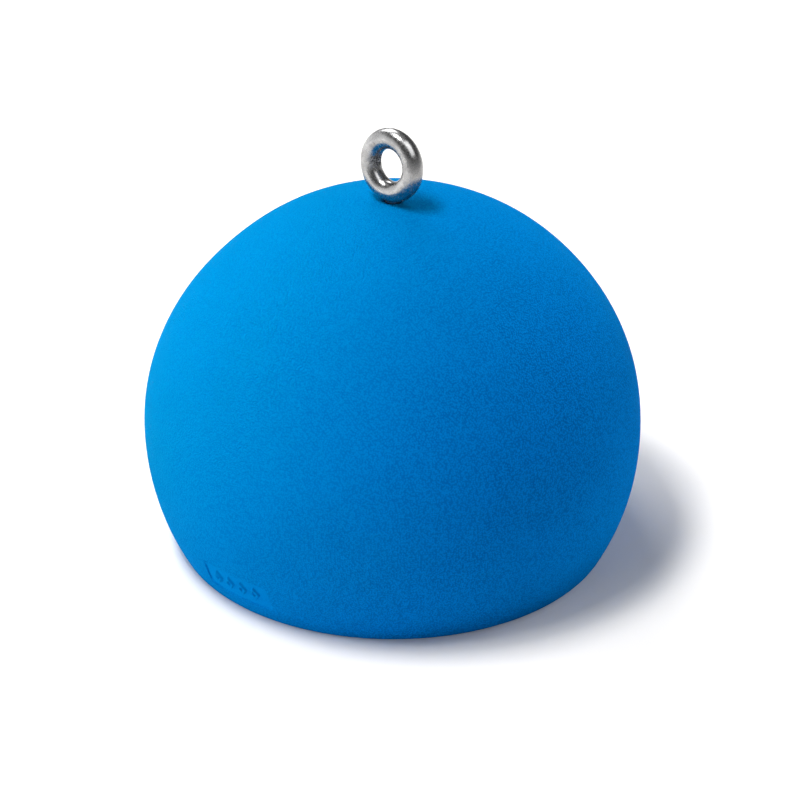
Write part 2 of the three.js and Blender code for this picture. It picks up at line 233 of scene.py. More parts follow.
def thread(radius, depth, low, high, pitch, angles, per_turn=10):
    """Rings of a screw thread from low to high, whose roots lie at the radius plus the depth."""
    count = round((high - low) / pitch * per_turn)
    rings = []
    for z in np.linspace(low, high, count + 1):
        phase = (z / pitch - angles / (2 * math.pi)) % 1
        root = np.clip(1.5 - 4 * np.abs(phase - 0.5), 0, 1)
        runout = min(1, (z - low) / pitch, (high - z) / pitch)
        rings.append((radius + depth * root * runout, z))
    return rings


def loop_beyond(cut, x):
    """The closed loop of cut vertices on the far side of an x, in order."""
    near = {}
    for edge in cut:
        if not isinstance(edge, bmesh.types.BMEdge):
            continue
        a, b = edge.verts
        if (a.co.x + b.co.x) / 2 > x:
            near.setdefault(a, []).append(b)
            near.setdefault(b, []).append(a)
    start = max(near, key=lambda v: (v.co.x, v.co.z))
    loop = [start]
    last, here = None, start
    while True:
        options = [v for v in near[here] if v is not last]
        last, here = here, options[0]
        if here is start:
            return loop
        loop.append(here)


def section(node):
    """The outline of a turned CAD node, cut through its +X side: (radius, height) points."""
    low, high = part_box(node)
    centre = (low + high) / 2
    work = bmesh.new()
    work.from_mesh(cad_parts[node].data)
    bmesh.ops.remove_doubles(work, verts=work.verts, dist=1e-6)
    cut = bmesh.ops.bisect_plane(
        work, geom=[*work.verts, *work.edges, *work.faces], plane_co=centre, plane_no=(0, 1, 0),
        dist=1e-6,
    )["geom_cut"]
    outline = [np.array([v.co.x - centre.x, v.co.z]) for v in loop_beyond(cut, centre.x)]
    work.free()
    corners = []
    for i, here in enumerate(outline):
        before = here - outline[i - 1]
        after = outline[(i + 1) % len(outline)] - here
        if abs(before[0] * after[1] - before[1] * after[0]) > 1e-9:
            corners.append(here)
    following = corners[1:] + corners[:1]
    area = sum(a[0] * b[1] - a[1] * b[0] for a, b in zip(corners, following))
    return corners if area > 0 else corners[::-1]


def moved_to(node, rows):
    """Rows of points made round the origin's axis, moved to the node's own axis."""
    low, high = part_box(node)
    return rows + np.array([(low.x + high.x) / 2, (low.y + high.y) / 2, 0])


def plain_object(name, mesh):
    made = bpy.data.objects.new(name, mesh)
    bpy.context.scene.collection.objects.link(made)
    return made


def joined(name, target, tools, operation):
    """The target's mesh with the tools joined on or cut away."""
    for tool in tools:
        step = target.modifiers.new("step", "BOOLEAN")
        step.operation = operation
        step.solver = "EXACT"
        step.object = tool
    bpy.context.view_layer.update()
    depsgraph = bpy.context.evaluated_depsgraph_get()
    mesh = bpy.data.meshes.new_from_object(target.evaluated_get(depsgraph))
    mesh.name = name
    for used in [target, *tools]:
        bpy.data.objects.remove(used)
    return mesh


def piece(name, mesh, material, body, slot, *nodes, sharp=40):
    """Adds a shown piece that rides on a body and stands for CAD nodes."""
    made = plain_object(name, mesh)
    mesh.shade_smooth()
    mesh.set_sharp_from_angle(angle=math.radians(sharp))
    mesh.materials.clear()
    mesh.materials.append(material)
    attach(made, body)
    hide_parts(*nodes)
    return made


# Material tools


def add(tree, kind, inputs=None, **settings):
    made = tree.nodes.new(kind)
    for key, value in settings.items():
        setattr(made, key, value)
    for key, value in (inputs or {}).items():
        if isinstance(value, bpy.types.NodeSocket):
            tree.links.new(value, made.inputs[key])
        else:
            made.inputs[key].default_value = value
    return made


def surface(name, **sockets):
    """A new material with a Principled shader: (material, tree, shader, object coordinates)."""
    made = bpy.data.materials.new(name)
    made.use_nodes = True
    tree = made.node_tree
    shader = tree.nodes["Principled BSDF"]
    for key, value in sockets.items():
        shader.inputs[key.replace("_", " ")].default_value = value
    place = add(tree, "ShaderNodeTexCoord").outputs["Object"]
    return made, tree, shader, place


def noise(tree, place, size, detail=2.0, roughness=0.5, distortion=0.0):
    """Noise whose features are about this many metres across."""
    return add(tree, "ShaderNodeTexNoise", {
        "Vector": place, "Scale": 1 / size, "Detail": detail, "Roughness": roughness,
        "Distortion": distortion,
    }).outputs["Fac"]


def maths(tree, operation, *values):
    return add(tree, "ShaderNodeMath", dict(enumerate(values)), operation=operation).outputs[0]


def remap(tree, value, low, high, to_low, to_high):
    return add(tree, "ShaderNodeMapRange", {
        "Value": value, "From Min": low, "From Max": high, "To Min": to_low, "To Max": to_high,
    }).outputs["Result"]


def two_colours(tree, share, first, second):
    """A mix of two colours, each one a socket or three numbers."""
    mix = add(tree, "ShaderNodeMix", {0: share}, data_type="RGBA")
    for key, colour in (("A", first), ("B", second)):
        if isinstance(colour, bpy.types.NodeSocket):
            tree.links.new(colour, mix.inputs[key])
        else:
            mix.inputs[key].default_value = (*colour, 1)
    return mix.outputs["Result"]


def bump(tree, height, distance, strength=1.0, normal=None):
    inputs = {"Height": height, "Distance": distance, "Strength": strength}
    if normal is not None:
        inputs["Normal"] = normal
    return add(tree, "ShaderNodeBump", inputs).outputs["Normal"]


# Materials


def badge_share(tree, place):
    """1 on the badge's panel and 0 off it."""
    inside = 1 * MM
    beyond = 0.5 * MM
    apart = add(tree, "ShaderNodeSeparateXYZ", {0: place})
    across = maths(tree, "ABSOLUTE", apart.outputs["X"])
    middle = (BADGE_BOTTOM_Z + BADGE_TOP_Z) / 2
    along = maths(tree, "ABSOLUTE", maths(tree, "SUBTRACT", apart.outputs["Z"], middle))
    half = (BADGE_TOP_Z - BADGE_BOTTOM_Z) / 2
    wide = remap(tree, across, BADGE_HALF_WIDTH - inside, BADGE_HALF_WIDTH + beyond, 1, 0)
    high = remap(tree, along, half - inside, half + beyond, 1, 0)
    front = maths(tree, "LESS_THAN", apart.outputs["Y"], 0.0)
    return maths(tree, "MULTIPLY", maths(tree, "MULTIPLY", wide, high), front)


def badge_border(tree, place, badge):
    """A dark line down the badge's left edge, where the light doesn't reach."""
    across = add(tree, "ShaderNodeSeparateXYZ", {0: place}).outputs["X"]
    left = remap(tree, across, -BADGE_HALF_WIDTH, -0.5 * BADGE_HALF_WIDTH, 3, 0)
    edge = maths(tree, "SUBTRACT", 1.0, badge)
    return maths(tree, "MULTIPLY", maths(tree, "MULTIPLY", badge, left), edge)


def pebbled_height(tree, place):
    """Height of the grain: small pebbles of uneven outline, with pores."""
    warp = add(tree, "ShaderNodeTexNoise", {
        "Vector": place, "Scale": 1 / (2.5 * MM), "Detail": 2.0,
    }).outputs["Color"]
    moved = add(tree, "ShaderNodeVectorMath", {0: warp, 1: (0.3 * MM,) * 3}, operation="MULTIPLY")
    warped = add(tree, "ShaderNodeVectorMath", {0: place, 1: moved.outputs[0]}, operation="ADD")
    pebbles = add(tree, "ShaderNodeTexVoronoi", {
        "Vector": warped.outputs[0], "Scale": 1 / (1.15 * MM), "Smoothness": 0.15,
        "Randomness": 0.8,
    }, feature="SMOOTH_F1").outputs["Distance"]
    pores = noise(tree, place, 1.0 * MM, 1.0, 0.6)
    return maths(tree, "SUBTRACT", maths(tree, "MULTIPLY", pores, 0.8), pebbles)


def lit_side_share(tree, place):
    """0 where the skin keeps its deep blue, and near 1 on the side towards the key light, painted
    greener as lit skin looks: painted light, with a little random drift.
    """
    drift = noise(tree, place, 90 * MM, 2.0)
    along = add(tree, "ShaderNodeVectorMath", {0: place, 1: LIT_SIDE}, operation="DOT_PRODUCT")
    lit_side_ramp = remap(tree, along.outputs["Value"], 10 * MM, 160 * MM, 0, 0.85)
    return maths(tree, "MULTIPLY_ADD", drift, 0.15, lit_side_ramp)


def skin_material():
    """Matte polyurethane with a fine pebbled grain, smoother on the badge."""
    made, tree, shader, place = surface(
        "moulded_polyurethane", IOR=1.12, Specular_IOR_Level=0.01, Sheen_Weight=0.07,
        Sheen_Roughness=0.55,
    )
    shader.inputs["Specular Tint"].default_value = (0.10, 0.62, 1.0, 1)
    shader.inputs["Sheen Tint"].default_value = (0.0, 0.9, 0.7, 1)
    height = pebbled_height(tree, place)
    patches = noise(tree, place, 26 * MM, 3.0, 0.6)
    badge = badge_share(tree, place)
    rough_share = remap(tree, patches, 0.3, 0.7, 0.8, 1.0)
    depth = maths(tree, "MULTIPLY", rough_share, remap(tree, badge, 0, 1, 1.0, 0.3))
    grain = bump(tree, maths(tree, "MULTIPLY", height, depth), 0.55 * MM)
    # Painted light: the base colour is painted greener on the side towards the key light, and the
    # painted shade below is weaker there.
    lit_side = lit_side_share(tree, place)
    tone = two_colours(tree, lit_side, (0, 0.166, 0.590), (0, 0.168, 0.401))
    # Painted shade: the base colour is darkened in the low parts of the grain and along the badge's
    # left edge.
    painted_shade = maths(tree, "MULTIPLY", remap(tree, height, 0.06, -0.26, 0.0, 1.0), depth)
    painted_shade = maths(tree, "MULTIPLY", painted_shade, maths(tree, "MULTIPLY_ADD", lit_side, -0.5, 0.85))
    painted_shade = maths(tree, "ADD", painted_shade, badge_border(tree, place, badge))
    with_painted_shade = two_colours(tree, painted_shade, tone, (0, 0.085, 0.32))
    tree.links.new(with_painted_shade, shader.inputs["Base Color"])
    tree.links.new(remap(tree, patches, 0.3, 0.7, 0.58, 0.7), shader.inputs["Roughness"])
    tree.links.new(grain, shader.inputs["Normal"])
    return made


def polished_steel_material():
    """Bright steel with a forged texture that the polishing hasn't quite removed, and a dark
    pitted patch left on the inner wall of the ring."""
    made, tree, shader, place = surface("polished_steel", Metallic=1.0)
    forged = noise(tree, place, 6 * MM, 1.0, 0.4, 0.4)
    fine = noise(tree, place, 1.6 * MM, 2.0, 0.5)
    share = remap(tree, forged, 0.35, 0.65, 0, 1)
    tone = two_colours(tree, share, (0.28, 0.28, 0.283), (0.36, 0.36, 0.363))
    patch = EYE_CENTRE + PITTED_PATCH
    distance = add(tree, "ShaderNodeVectorMath", {0: place, 1: patch}, operation="DISTANCE")
    ragged = maths(tree, "MULTIPLY_ADD", noise(tree, place, 2.2 * MM, 4.0, 0.8), 12 * MM,
                   distance.outputs["Value"])
    scale = remap(tree, ragged, 9.6 * MM, 11.4 * MM, 1, 0)
    pits = remap(tree, noise(tree, place, 0.9 * MM, 3.0, 0.8), 0.42, 0.6, 0, 1)
    black = two_colours(tree, pits, (0.01, 0.01, 0.01), (0.42, 0.41, 0.40))
    tree.links.new(two_colours(tree, scale, tone, black), shader.inputs["Base Color"])
    rough = remap(tree, fine, 0.3, 0.7, 0.22, 0.32)
    tree.links.new(maths(tree, "MULTIPLY_ADD", scale, 0.3, rough), shader.inputs["Roughness"])
    first = bump(tree, forged, 0.12 * MM, 0.5)
    second = bump(tree, fine, 0.004 * MM, 0.5, first)
    pitted = maths(tree, "MULTIPLY", pits, scale)
    tree.links.new(bump(tree, pitted, 0.3 * MM, 0.8, second), shader.inputs["Normal"])
    return made


def rubber_material():
    made, tree, shader, place = surface("black_rubber", Specular_IOR_Level=0.35)
    grain = noise(tree, place, 0.6 * MM, 3.0, 0.6)
    dust = noise(tree, place, 14 * MM, 4.0, 0.65)
    tone = two_colours(tree, remap(tree, dust, 0.4, 0.7, 0, 1), (0.012, 0.013, 0.015),
                       (0.03, 0.031, 0.034))
    tree.links.new(tone, shader.inputs["Base Color"])
    tree.links.new(remap(tree, dust, 0.3, 0.7, 0.62, 0.8), shader.inputs["Roughness"])
    tree.links.new(bump(tree, grain, 0.12 * MM, 0.7), shader.inputs["Normal"])
    return made


def metal_material(name, first, second, roughness, patch):
    """Bare or plated metal: two tones in patches, and fine turning marks."""
    made, tree, shader, place = surface(name, Metallic=1.0)
    patches = noise(tree, place, patch, 4.0, 0.6)
    marks = noise(tree, place, 0.35 * MM, 3.0, 0.6)
    tone = two_colours(tree, remap(tree, patches, 0.35, 0.65, 0, 1), first, second)
    tree.links.new(tone, shader.inputs["Base Color"])
    rough = remap(tree, patches, 0.3, 0.7, roughness - 0.07, roughness + 0.09)
    tree.links.new(rough, shader.inputs["Roughness"])
    tree.links.new(bump(tree, marks, 0.03 * MM, 0.5), shader.inputs["Normal"])
    return made


def nylon_material():
    made, tree, shader, place = surface("nylon", Specular_IOR_Level=0.45)
    cloud = noise(tree, place, 6 * MM, 3.0)
    tone = two_colours(tree, remap(tree, cloud, 0.3, 0.7, 0, 1), (0.78, 0.76, 0.67),
                       (0.85, 0.83, 0.75))
    tree.links.new(tone, shader.inputs["Base Color"])
    tree.links.new(remap(tree, cloud, 0.3, 0.7, 0.38, 0.5), shader.inputs["Roughness"])
    tree.links.new(bump(tree, noise(tree, place, 0.5 * MM), 0.02 * MM, 0.5),
                   shader.inputs["Normal"])
    return made


def foam_material():
    """Cast foam: pale, with small open pores."""
    made, tree, shader, place = surface("cast_foam", Roughness=0.95, Specular_IOR_Level=0.15)
    pores = add(tree, "ShaderNodeTexVoronoi", {"Vector": place, "Scale": 1 / (1.6 * MM)})
    pit = remap(tree, pores.outputs["Distance"], 0.05, 0.45, 0, 1)
    cloud = noise(tree, place, 30 * MM, 3.0)
    tone = two_colours(tree, cloud, (0.62, 0.57, 0.44), (0.76, 0.71, 0.58))
    # Painted shade: the pores are painted darker than the foam round them.
    with_painted_shade = two_colours(tree, pit, (0.36, 0.31, 0.22), tone)
    tree.links.new(with_painted_shade, shader.inputs["Base Color"])
    tree.links.new(bump(tree, pit, 0.4 * MM, 0.8), shader.inputs["Normal"])
    return made


def plywood_material():
    """Birch plywood: the grain turns by a right angle from each ply to the next."""
    made, tree, shader, place = surface("plywood", Roughness=0.75, Specular_IOR_Level=0.25)
    height = add(tree, "ShaderNodeSeparateXYZ", {0: place}).outputs["Z"]
    ply = maths(tree, "PINGPONG", maths(tree, "DIVIDE", height, PLY_THICKNESS), 1.0)
    turned_ply = remap(tree, ply, 0.45, 0.55, 0, 1)
    along_x = add(tree, "ShaderNodeMapping", {"Vector": place, "Scale": (0.06, 1.0, 1.0)})
    along_y = add(tree, "ShaderNodeMapping", {"Vector": place, "Scale": (1.0, 0.06, 1.0)})
    first = noise(tree, along_x.outputs[0], 2.2 * MM, 4.0, 0.65, 0.5)
    second = noise(tree, along_y.outputs[0], 2.2 * MM, 4.0, 0.65, 0.5)
    grain = add(tree, "ShaderNodeMix", {0: turned_ply, 2: first, 3: second}).outputs[0]
    tone = two_colours(tree, remap(tree, grain, 0.35, 0.65, 0, 1), (0.50, 0.30, 0.13),
                       (0.66, 0.44, 0.22))
    from_joint = maths(tree, "ABSOLUTE", maths(tree, "SUBTRACT", ply, 0.5))
    glue = remap(tree, from_joint, 0.0, 0.08, 0.7, 0)
    lined = two_colours(tree, glue, tone, (0.16, 0.075, 0.03))
    tree.links.new(lined, shader.inputs["Base Color"])
    tree.links.new(bump(tree, grain, 0.12 * MM, 0.6), shader.inputs["Normal"])
    return made


SKIN = skin_material()
POLISHED_STEEL = polished_steel_material()
RUBBER = rubber_material()
ZINC_STEEL = metal_material("zinc_steel", (0.42, 0.43, 0.44), (0.56, 0.57, 0.57), 0.40, 4 * MM)
BRONZE = metal_material("bronze", (0.34, 0.17, 0.055), (0.46, 0.25, 0.085), 0.38, 5 * MM)
BRASS = metal_material("brass", (0.50, 0.33, 0.09), (0.62, 0.43, 0.14), 0.34, 4 * MM)
NYLON = nylon_material()
FOAM = foam_material()
PLYWOOD = plywood_material()

# Moulded skin


def fall(z, radius):
    """Angle of a level on a circle round the widest level."""
    return math.asin((z - WIDEST_Z) / radius)


BADGE_LENGTH = BALL_RADIUS * (fall(BADGE_TOP_Z, BALL_RADIUS) - fall(BADGE_BOTTOM_Z, BALL_RADIUS))
BADGE_MIDDLE = (fall(BADGE_TOP_Z, BALL_RADIUS) + fall(BADGE_BOTTOM_Z, BALL_RADIUS)) / 2


def refined(start, end, step, fine_start, fine_end, fine_step):
    """Values from start to end, closer together between fine_start and fine_end."""
    spans = [(start, fine_start, step), (fine_start, fine_end, fine_step), (fine_end, end, step)]
    made = []
    for low, high, size in spans:
        made.extend(np.linspace(low, high, max(1, math.ceil((high - low) / size)) + 1)[:-1])
    return np.array([*made, end])


def step_down(distance, width):
    """From 1 inside to 0 outside a boundary, smoothly over this width."""
    t = np.clip(0.5 - distance / width, 0, 1)
    return t * t * (3 - 2 * t)


def badge_height(across, along):
    """Height of the badge's relief, at distances across and up from the panel's centre."""
    qx = np.abs(across) - (BADGE_HALF_WIDTH - BADGE_CORNER)
    qy = np.abs(along) - (BADGE_LENGTH / 2 - BADGE_CORNER)
    outside = np.hypot(np.maximum(qx, 0), np.maximum(qy, 0)) + np.minimum(np.maximum(qx, qy), 0)
    height = -BADGE_DEPTH * step_down(outside - BADGE_CORNER, BADGE_SLOPE)
    middle = (LOZENGE_COUNT - 1) / 2
    for i in range(LOZENGE_COUNT):
        shift = np.abs(across - (i - middle) * LOZENGE_PITCH)
        rise = np.abs(along - LOZENGE_RISE)
        edge = shift / LOZENGE_HALF_WIDTH + rise / LOZENGE_HALF_HEIGHT - 1
        edge = edge * LOZENGE_HALF_WIDTH * 0.8
        ridge = step_down(edge, RIDGE_SLOPE) * (1 - 0.9 * step_down(edge + RIDGE_WIDTH, RIDGE_SLOPE))
        height += RIDGE_HEIGHT * ridge
    dimple = np.hypot(across - DIMPLE_ACROSS, along - DIMPLE_RISE)
    height -= DIMPLE_DEPTH * np.exp(-((dimple / DIMPLE_RADIUS) ** 2))
    return height


def swells(points):
    """Slow unevenness of the moulding: long waves, with the places that are full or flat."""
    height = np.zeros(len(points))
    golden = math.pi * (3 - math.sqrt(5))
    for i in range(WAVE_COUNT):
        z = 1 - 2 * (i + 0.5) / WAVE_COUNT
        flat = math.sqrt(1 - z * z)
        direction = np.array([flat * math.cos(golden * i), flat * math.sin(golden * i), z])
        wavelength = SHORTEST_WAVE + i * WAVE_STEP
        height += WAVE_HEIGHT * np.cos(points @ direction * 2 * math.pi / wavelength + 1.7 * i)
    seen = points - np.array([0, 0, WIDEST_Z])
    seen /= np.linalg.norm(seen, axis=1, keepdims=True)
    for azimuth, elevation, reach, amount in FULL_AND_FLAT:
        a, e = math.radians(azimuth), math.radians(elevation)
        aim = np.array([math.cos(a) * math.cos(e), math.sin(a) * math.cos(e), math.sin(e)])
        angle = np.degrees(np.arccos(np.clip(seen @ aim, -1, 1)))
        height += amount * np.exp(-((angle / reach) ** 2))
    return height


def wall_angles(start):
    """Angles of the outer wall's levels up to the widest one, closer together at the badge."""
    margin = 1.2 * MM / BALL_RADIUS
    half = BADGE_LENGTH / 2 / BALL_RADIUS
    return refined(start, 0.0, FACET / BALL_RADIUS, BADGE_MIDDLE - half - margin,
                   BADGE_MIDDLE + half + margin, BADGE_FACET / BALL_RADIUS)


def skin_outline():
    """The skin's section before its relief, as (radius, height) points: out along the base, up
    the outside, down through the crown's bore and back inside. With it come the numbers of the
    outside's rows."""
    inner = BALL_RADIUS - SKIN_THICKNESS
    to_round = BALL_RADIUS - BASE_EDGE_ROUND
    round_drop = WIDEST_Z - BASE_EDGE_ROUND
    round_radius = math.sqrt(to_round**2 - round_drop**2)
    tangent = -math.asin(round_drop / to_round)
    lip_radius = CROWN_BORE_RADIUS + CROWN_BORE_ROUND
    rim_edge = RIM_OPENING_RADIUS + RIM_ROUND

    bottom = [(r, 0.0) for r in np.linspace(rim_edge, round_radius, 5)]
    edge = arc(round_radius, BASE_EDGE_ROUND, BASE_EDGE_ROUND, BASE_EDGE_ROUND,
               -math.pi / 2, tangent, 8)
    wall = [(BALL_RADIUS * math.cos(a), WIDEST_Z + BALL_RADIUS * math.sin(a))
            for a in wall_angles(tangent)]
    dome = arc(0, WIDEST_Z, BALL_RADIUS, CROWN_RISE, 0, math.acos(lip_radius / BALL_RADIUS), 92)
    lip_z = dome[-1][1] - CROWN_BORE_ROUND
    lip = arc(lip_radius, lip_z, CROWN_BORE_ROUND, CROWN_BORE_ROUND, math.pi / 2, math.pi, 6)
    inside = arc(0, WIDEST_Z, inner, CROWN_RISE - SKIN_THICKNESS,
                 math.acos(CROWN_BORE_RADIUS / inner), 0, 22)
    inside_low = arc(0, WIDEST_Z, inner, inner, 0, fall(RIM_THICKNESS, inner), 6)
    rim = [(rim_edge, RIM_THICKNESS), (RIM_OPENING_RADIUS, RIM_THICKNESS - RIM_ROUND),
           (RIM_OPENING_RADIUS, RIM_ROUND)]
    outside = [*edge[1:], *wall[1:], *dome[1:]]
    outline = [*bottom, *outside, *lip[1:], *inside, *inside_low[1:], *rim]
    return outline, range(len(bottom), len(bottom) + len(outside))


def outward(points):
    """Unit normals of the smooth skin at a ring of points."""
    rise = CROWN_RISE if points[0, 2] > WIDEST_Z else BALL_RADIUS
    normal = np.stack([points[:, 0] / BALL_RADIUS**2, points[:, 1] / BALL_RADIUS**2,
                       (points[:, 2] - WIDEST_Z) / rise**2], -1)
    return normal / np.linalg.norm(normal, axis=1, keepdims=True)


def relief(points, angles):
    """Height of the unevenness and of the badge at a ring of points. The unevenness dies away
    towards the base and the crown."""
    level = points[0, 2]
    radius = np.hypot(points[:, 0], points[:, 1])
    height = swells(points) * np.clip((level - 3 * MM) / (25 * MM), 0, 1)
    height *= np.clip(radius / (40 * MM), 0, 1)
    if BADGE_BOTTOM_Z - 4 * MM < level < BADGE_TOP_Z + 4 * MM:
        across = (angles - BADGE_ANGLE) * radius
        along = (fall(level, BALL_RADIUS) - BADGE_MIDDLE) * BALL_RADIUS
        height += badge_height(across, along)
    return height


def add_skin():
    outline, outside = skin_outline()
    half_span = (BADGE_HALF_WIDTH + 1.5 * MM) / (RIM_OPENING_RADIUS + 15 * MM)
    angles = refined(BADGE_ANGLE - math.pi, BADGE_ANGLE + math.pi, FACET_ANGLE,
                     BADGE_ANGLE - half_span, BADGE_ANGLE + half_span, BADGE_FACET_ANGLE)[:-1]
    rows = rings_to_points(outline, angles)
    for i in outside:
        rows[i] = rows[i] + outward(rows[i]) * relief(rows[i], angles)[:, None]
    mesh = grid_mesh("skin", rows, closed_section=True)
    made = piece("skin", mesh, SKIN, "ball", "skin", "moulded_skin", sharp=60)


# Eye bolt


def ring_mesh():
    around = even_angles(180)
    bar = even_angles(72)
    lean = np.array([
        [1, 0, 0],
        [0, math.cos(EYE_LEAN), math.sin(EYE_LEAN)],
        [0, -math.sin(EYE_LEAN), math.cos(EYE_LEAN)],
    ])
    swing = EYE_RADIUS - EYE_BAR_RADIUS + EYE_BAR_RADIUS * np.cos(bar)
    depth = EYE_BAR_RADIUS * np.sin(bar)
    rows = [np.stack([swing * math.cos(a), depth, swing * math.sin(a)], -1) for a in around]
    return grid_mesh("ring", np.array(rows) @ lean.T + np.array(EYE_CENTRE), closed_section=True)


def shank_mesh():
    """A threaded rod with a rounded shoulder that runs up into the ring."""
    low = eye_low.z
    chamfer = 1.5 * MM
    thread_top = low + THREAD_LENGTH
    shoulder = CROWN_Z + 2 * MM
    angles = even_angles(64)
    rings = [(SHANK_RADIUS - chamfer, low), (SHANK_RADIUS - chamfer / 2, low + chamfer / 2)]
    rings += thread(SHANK_RADIUS, -0.75 * MM, low + chamfer, thread_top, THREAD_PITCH, angles)
    rings += [(SHANK_RADIUS, thread_top + 1 * MM), (SHANK_RADIUS, shoulder)]
    rings += arc(0, shoulder, SHANK_RADIUS, 7 * MM, 0.1, 1.4, 8)
    return grid_mesh("shank", rings_to_points(rings, angles), closed_section=False)


def add_eye_bolt():
    ring = plain_object("ring", ring_mesh())
    shank = plain_object("shank", shank_mesh())
    mesh = joined("eye", ring, [shank], "UNION")
    piece("eye", mesh, POLISHED_STEEL, "eye", "polished_steel", "eye_bolt")


# Spine and crown


def turned(name, node, edge, material, slot, body="ball"):
    """A turned CAD node with its edges broken and its facets made round."""
    rings = soften(section(node), edge)
    rows = moved_to(node, rings_to_points(rings, even_angles(96)))
    piece(name, grid_mesh(name, rows, closed_section=True), material, body, slot, node)


def nut_mesh():
    """A hexagon with chamfered corners, a round collar below it and a threaded bore."""
    low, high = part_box("lock_nut")
    flat = (high.x - low.x) / 2
    hex_z = high.z - 7.2 * MM
    collar = 7.6 * MM
    lip = 5.9 * MM
    groove = 6.8 * MM
    groove_low = low.z + 0.6 * MM
    groove_high = low.z + 3 * MM
    bore = SHANK_RADIUS + GAP
    angles = even_angles(96)
    rings = [(collar - 0.7 * MM, low.z), (collar, low.z + 0.8 * MM), (collar, hex_z - 0.3 * MM),
             (collar + 0.2 * MM, hex_z)]
    for z in np.linspace(hex_z, high.z, 19):
        cone = 0.98 * flat + 1.7 * min(z - hex_z, high.z - z)
        rings.append((np.minimum(flat * hexagon(angles), cone), z))
    rings.append((bore + 0.7 * MM, high.z))
    rings += thread(bore, 0.6 * MM, groove_high, high.z - 0.3 * MM, THREAD_PITCH, angles)[::-1]
    rings += [(groove, groove_high), (groove, groove_low), (lip, groove_low), (lip, low.z)]
    return grid_mesh("nut", rings_to_points(rings, angles), closed_section=True)


def add_foam():
    """A cast core that fills the skin, hollow round the load cup, tube, plate and seal."""
    depth = SKIN_THICKNESS + FOAM_GAP
    radius = BALL_RADIUS - depth
    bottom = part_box("foam_core")[0].z
    cup = CUP_HOLLOW_RADIUS
    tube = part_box("spine_tube")[1].x + GAP
    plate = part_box("top_plate")[1].x + GAP
    plate_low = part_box("top_plate")[0].z - GAP
    plate_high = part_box("top_plate")[1].z + GAP
    cup_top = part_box("load_cup")[1].z + GAP
    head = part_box("crown_seal")[1].x + GAP
    wall = arc(0, WIDEST_Z, radius, radius, fall(bottom, radius), 0, 16)
    dome = arc(0, WIDEST_Z, radius, CROWN_RISE - depth, 0, math.acos(head / radius), 48)
    outline = [(cup, bottom), *wall, *dome[1:], (head, plate_high), (plate, plate_high),
               (plate, plate_low), (tube, plate_low), (tube, cup_top), (cup, cup_top)]
    mesh = grid_mesh("foam", rings_to_points(outline, even_angles(128)), closed_section=True)
    made = piece("foam", mesh, FOAM, "ball", "foam", "foam_core")


def add_spine():
    turned("crown_seal_ring", "crown_seal", 0.4 * MM, RUBBER, "rubber")
    turned("upper_plate", "top_plate", 0.3 * MM, ZINC_STEEL, "zinc_steel")
    turned("tube", "spine_tube", 0.3 * MM, ZINC_STEEL, "zinc_steel")
    turned("upper_bush", "top_bush", 0.25 * MM, NYLON, "nylon")
    turned("lower_bush", "bottom_bush", 0.25 * MM, NYLON, "nylon")
    turned("bronze_washer", "thrust_washer", 0.2 * MM, BRONZE, "bronze")
    turned("steel_washer", "nut_washer", 0.25 * MM, ZINC_STEEL, "zinc_steel", "eye")
    turned("nut_ring", "nyloc_ring", 0.2 * MM, NYLON, "nylon", "eye")
    piece("nut", nut_mesh(), ZINC_STEEL, "eye", "zinc_steel", "lock_nut", sharp=30)


# Base


def screw_mesh(node, body, pitch):
    """A countersunk screw with its head down and a hexagon socket in it."""
    low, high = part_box(node)
    head = (high.x - low.x) / 2
    angles = even_angles(48)
    socket = SOCKET_ACROSS_FLATS / 2 * hexagon(angles)
    cone_low = low.z + SCREW_HEAD_EDGE
    cone_top = cone_low + head - body
    rings = [(socket, low.z + SOCKET_DEPTH), (socket, low.z + 0.2 * MM),
             (socket + 0.2 * MM, low.z), (head - 0.25 * MM, low.z), (head, low.z + 0.2 * MM),
             (head, cone_low), (body, cone_top)]
    rings += thread(body, -0.4 * MM, cone_top + 0.2 * MM, high.z - 0.8 * MM, pitch, angles)
    rings.append((0.45 * body, high.z))
    return grid_mesh(node, moved_to(node, rings_to_points(rings, angles)), closed_section=False)


def screw_hole(node, body):
    """A cutter for the countersunk hole of a screw, with a clearance all round."""
    low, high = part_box(node)
    head = (high.x - low.x) / 2
    cone_low = low.z + SCREW_HEAD_EDGE
    cone_top = cone_low + head - body
    rings = [(head + GAP, low.z - 1 * MM), (head + GAP, cone_low), (body + GAP, cone_top),
             (body + GAP, high.z + GAP)]
    rows = moved_to(node, rings_to_points(rings, even_angles(48)))
    return plain_object("hole", grid_mesh("hole", rows, closed_section=False))


def insert_hole(node):
    low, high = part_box(node)
    radius = (high.x - low.x) / 2 + GAP
    rings = [(radius, low.z - 1 * MM), (radius, high.z + GAP)]
    rows = moved_to(node, rings_to_points(rings, even_angles(48)))
    return plain_object("hole", grid_mesh("hole", rows, closed_section=False))


def insert_mesh(node):
    low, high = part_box(node)
    outer = (high.x - low.x) / 2
    inner = COVER_SCREW_BODY + GAP
    lead = 0.3 * MM
    angles = even_angles(48)
    rings = [(inner + lead, low.z), (outer - lead, low.z)]
    rings += thread(outer, -0.4 * MM, low.z + lead, high.z - lead, 1.5 * MM, angles)
    rings += [(outer - lead, high.z), (inner + lead, high.z)]
    rings += thread(inner, 0.35 * MM, low.z + lead, high.z - lead, 0.8 * MM, angles)[::-1]
    return grid_mesh(node, moved_to(node, rings_to_points(rings, angles)), closed_section=True)


def numbered(prefix, count):
    return [f"{prefix}_{i + 1}" for i in range(count)]


